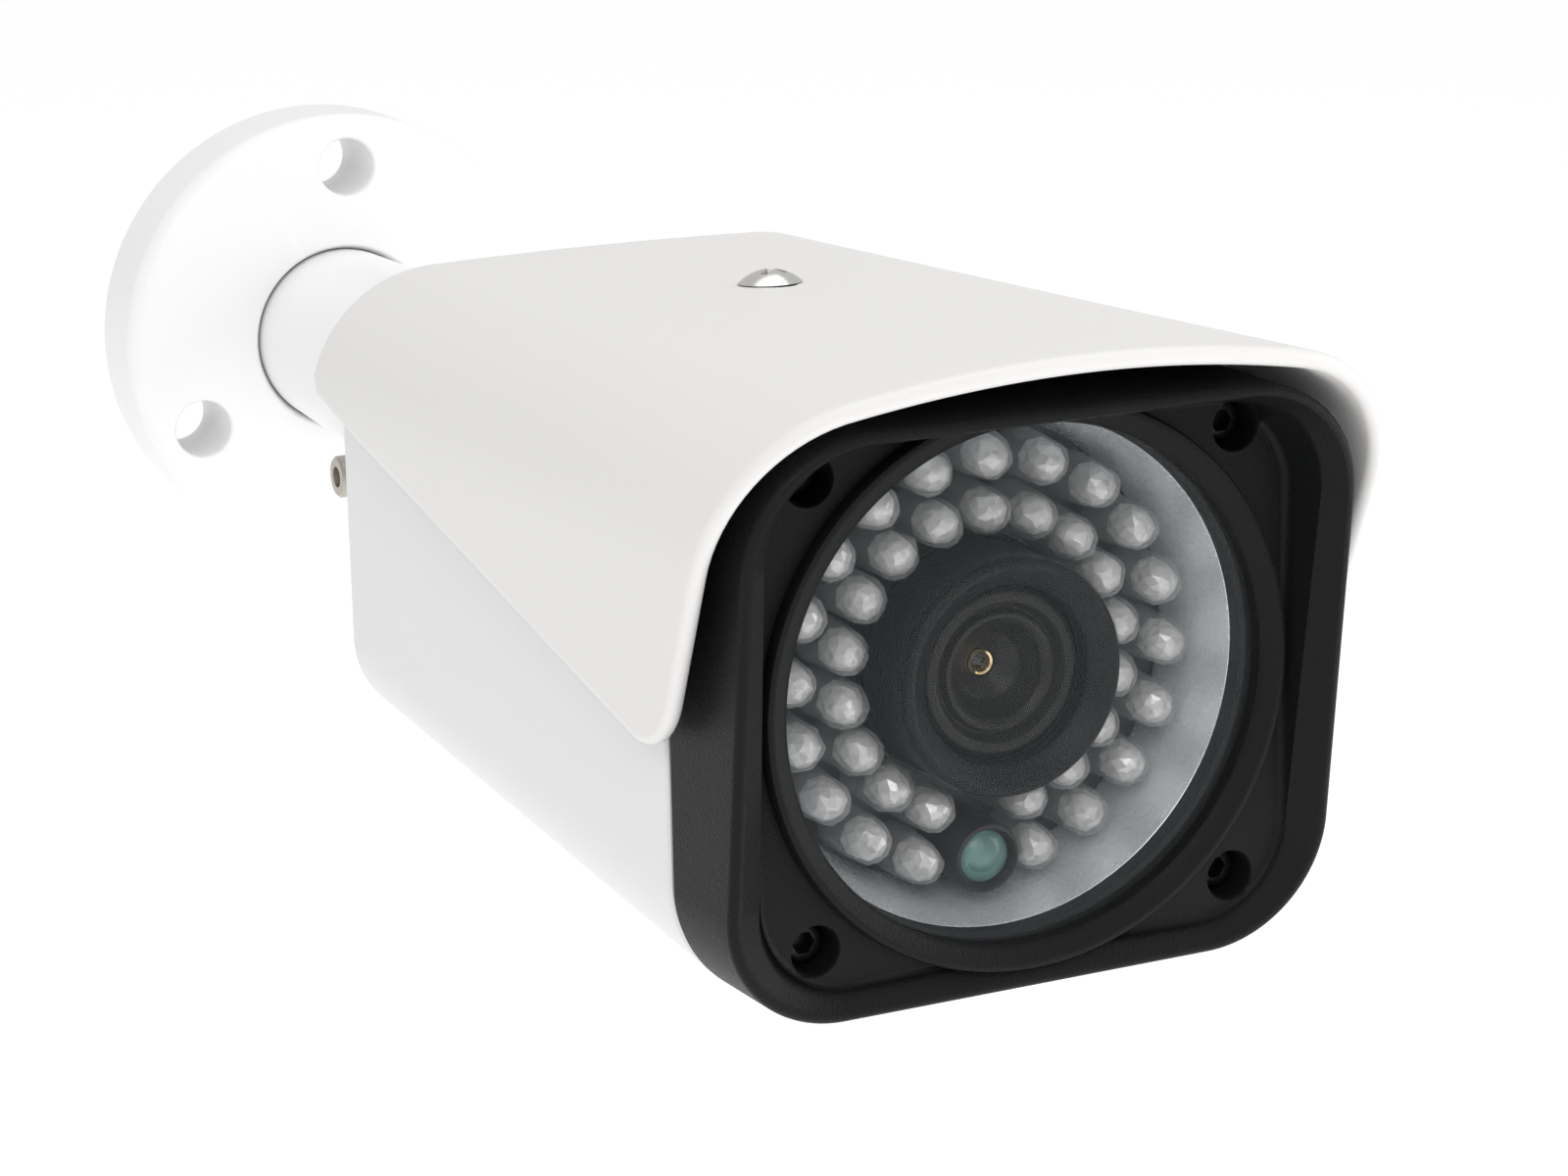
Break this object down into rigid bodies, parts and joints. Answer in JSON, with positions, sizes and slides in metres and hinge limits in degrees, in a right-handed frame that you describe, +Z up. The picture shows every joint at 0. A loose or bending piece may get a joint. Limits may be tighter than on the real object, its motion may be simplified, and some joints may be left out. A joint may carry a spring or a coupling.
{
  "type": "bullet security camera",
  "caption": "Wall-mounted bullet security camera: round plate, swivel arm with a ball joint, tapered housing under a sunshield, and a round window with infrared lights round a small lens.",
  "frame": {"origin": "centre of the wall plate's back face, where it meets the wall", "axes": "+Z up, +Y into the wall, the lens looks along -Y"},
  "size_m": [0.0726, 0.2152, 0.0642],
  "materials": {
    "white_paint": "satin white powder coat",
    "hood_paint": "satin warm white powder coat",
    "black_coat": "fine textured matt black coat",
    "zinc_steel": "zinc plated steel",
    "bright_nickel": "bright nickel plate",
    "black_screw": "black oxide steel",
    "black_rubber": "matt black rubber",
    "nylon": "natural nylon",
    "clear_glass": "clear flat glass",
    "coated_glass": "dark coated glass",
    "pale_reflector": "pale grey moulding",
    "black_board": "black circuit board",
    "green_board": "green circuit board",
    "clear_led": "clear epoxy",
    "sensor_tint": "pale green tinted epoxy",
    "dark_anodised": "dark anodised aluminium",
    "gold_rim": "gilt",
    "black_plastic": "black moulding",
    "copper_coil": "enamelled copper",
    "sensor_die": "sensor package",
    "brass_pillar": "plain brass",
    "chip_black": "black chip package"
  },
  "bodies": {
    "mount": {"wall_plate": "white_paint", "swivel_washer": "nylon", "swivel_set_screw": "zinc_steel"},
    "arm": {"bracket_arm": "white_paint", "swivel_clip": "zinc_steel", "clamp_screw": "zinc_steel", "clamp_nut": "zinc_steel"},
    "stud": {"ball_stud": "zinc_steel"},
    "camera": {"rear_cap": "white_paint", "housing": "white_paint", "sunshield": "hood_paint", "neck_lock_nut": "white_paint", "rear_cap_gasket": "black_rubber", "rear_cap_screws": "zinc_steel", "cable_gland": "black_rubber", "front_bezel": "black_coat", "bezel_gasket": "black_rubber", "bezel_screws": "black_screw", "window_glass": "clear_glass", "window_seal": "black_rubber", "reflector_ring": "pale_reflector", "led_board": "black_board", "led_ring_outer": "clear_led", "led_ring_inner": "clear_led", "sensor_eye_collar": "black_rubber", "sensor_eye": "sensor_tint", "lens_shroud": "black_rubber", "lens_barrel": "dark_anodised", "lens_pupil_ring": "gold_rim", "lens_front_glass": "coated_glass", "lens_rear_glasses": "coated_glass", "lens_holder": "black_plastic", "filter_frame": "black_plastic", "filter_coil": "copper_coil", "image_sensor": "sensor_die", "sensor_board": "green_board", "main_board": "green_board", "front_pillars": "brass_pillar", "rear_pillars": "brass_pillar", "board_screws": "zinc_steel", "processor_chip": "chip_black", "lead_socket": "nylon", "sunshield_screw": "bright_nickel", "sunshield_pad": "black_rubber", "sunshield_insert": "brass_pillar"},
    "filter_shutter": {"filter_slider": "black_plastic", "infrared_cut_glass": "coated_glass", "clear_filter_glass": "clear_glass"}
  },
  "joints": [
    {"name": "swivel", "type": "hinge", "parent": "mount", "child": "arm", "pos_m": [0, 0, 0], "axis": [0, 1, 0], "range_deg": [-175, 175]},
    {"name": "tilt", "type": "hinge", "parent": "arm", "child": "stud", "pos_m": [0, -0.044, 0], "axis": [1, 0, 0], "range_deg": [-32, 32]},
    {"name": "roll", "type": "hinge", "parent": "stud", "child": "camera", "pos_m": [0, -0.07, 0], "axis": [0, 1, 0], "range_deg": [-90, 90]},
    {"name": "filter_shift", "type": "slide", "parent": "camera", "child": "filter_shutter", "axis": [-1, 0, 0], "range_m": [0, 0.007]}
  ]
}
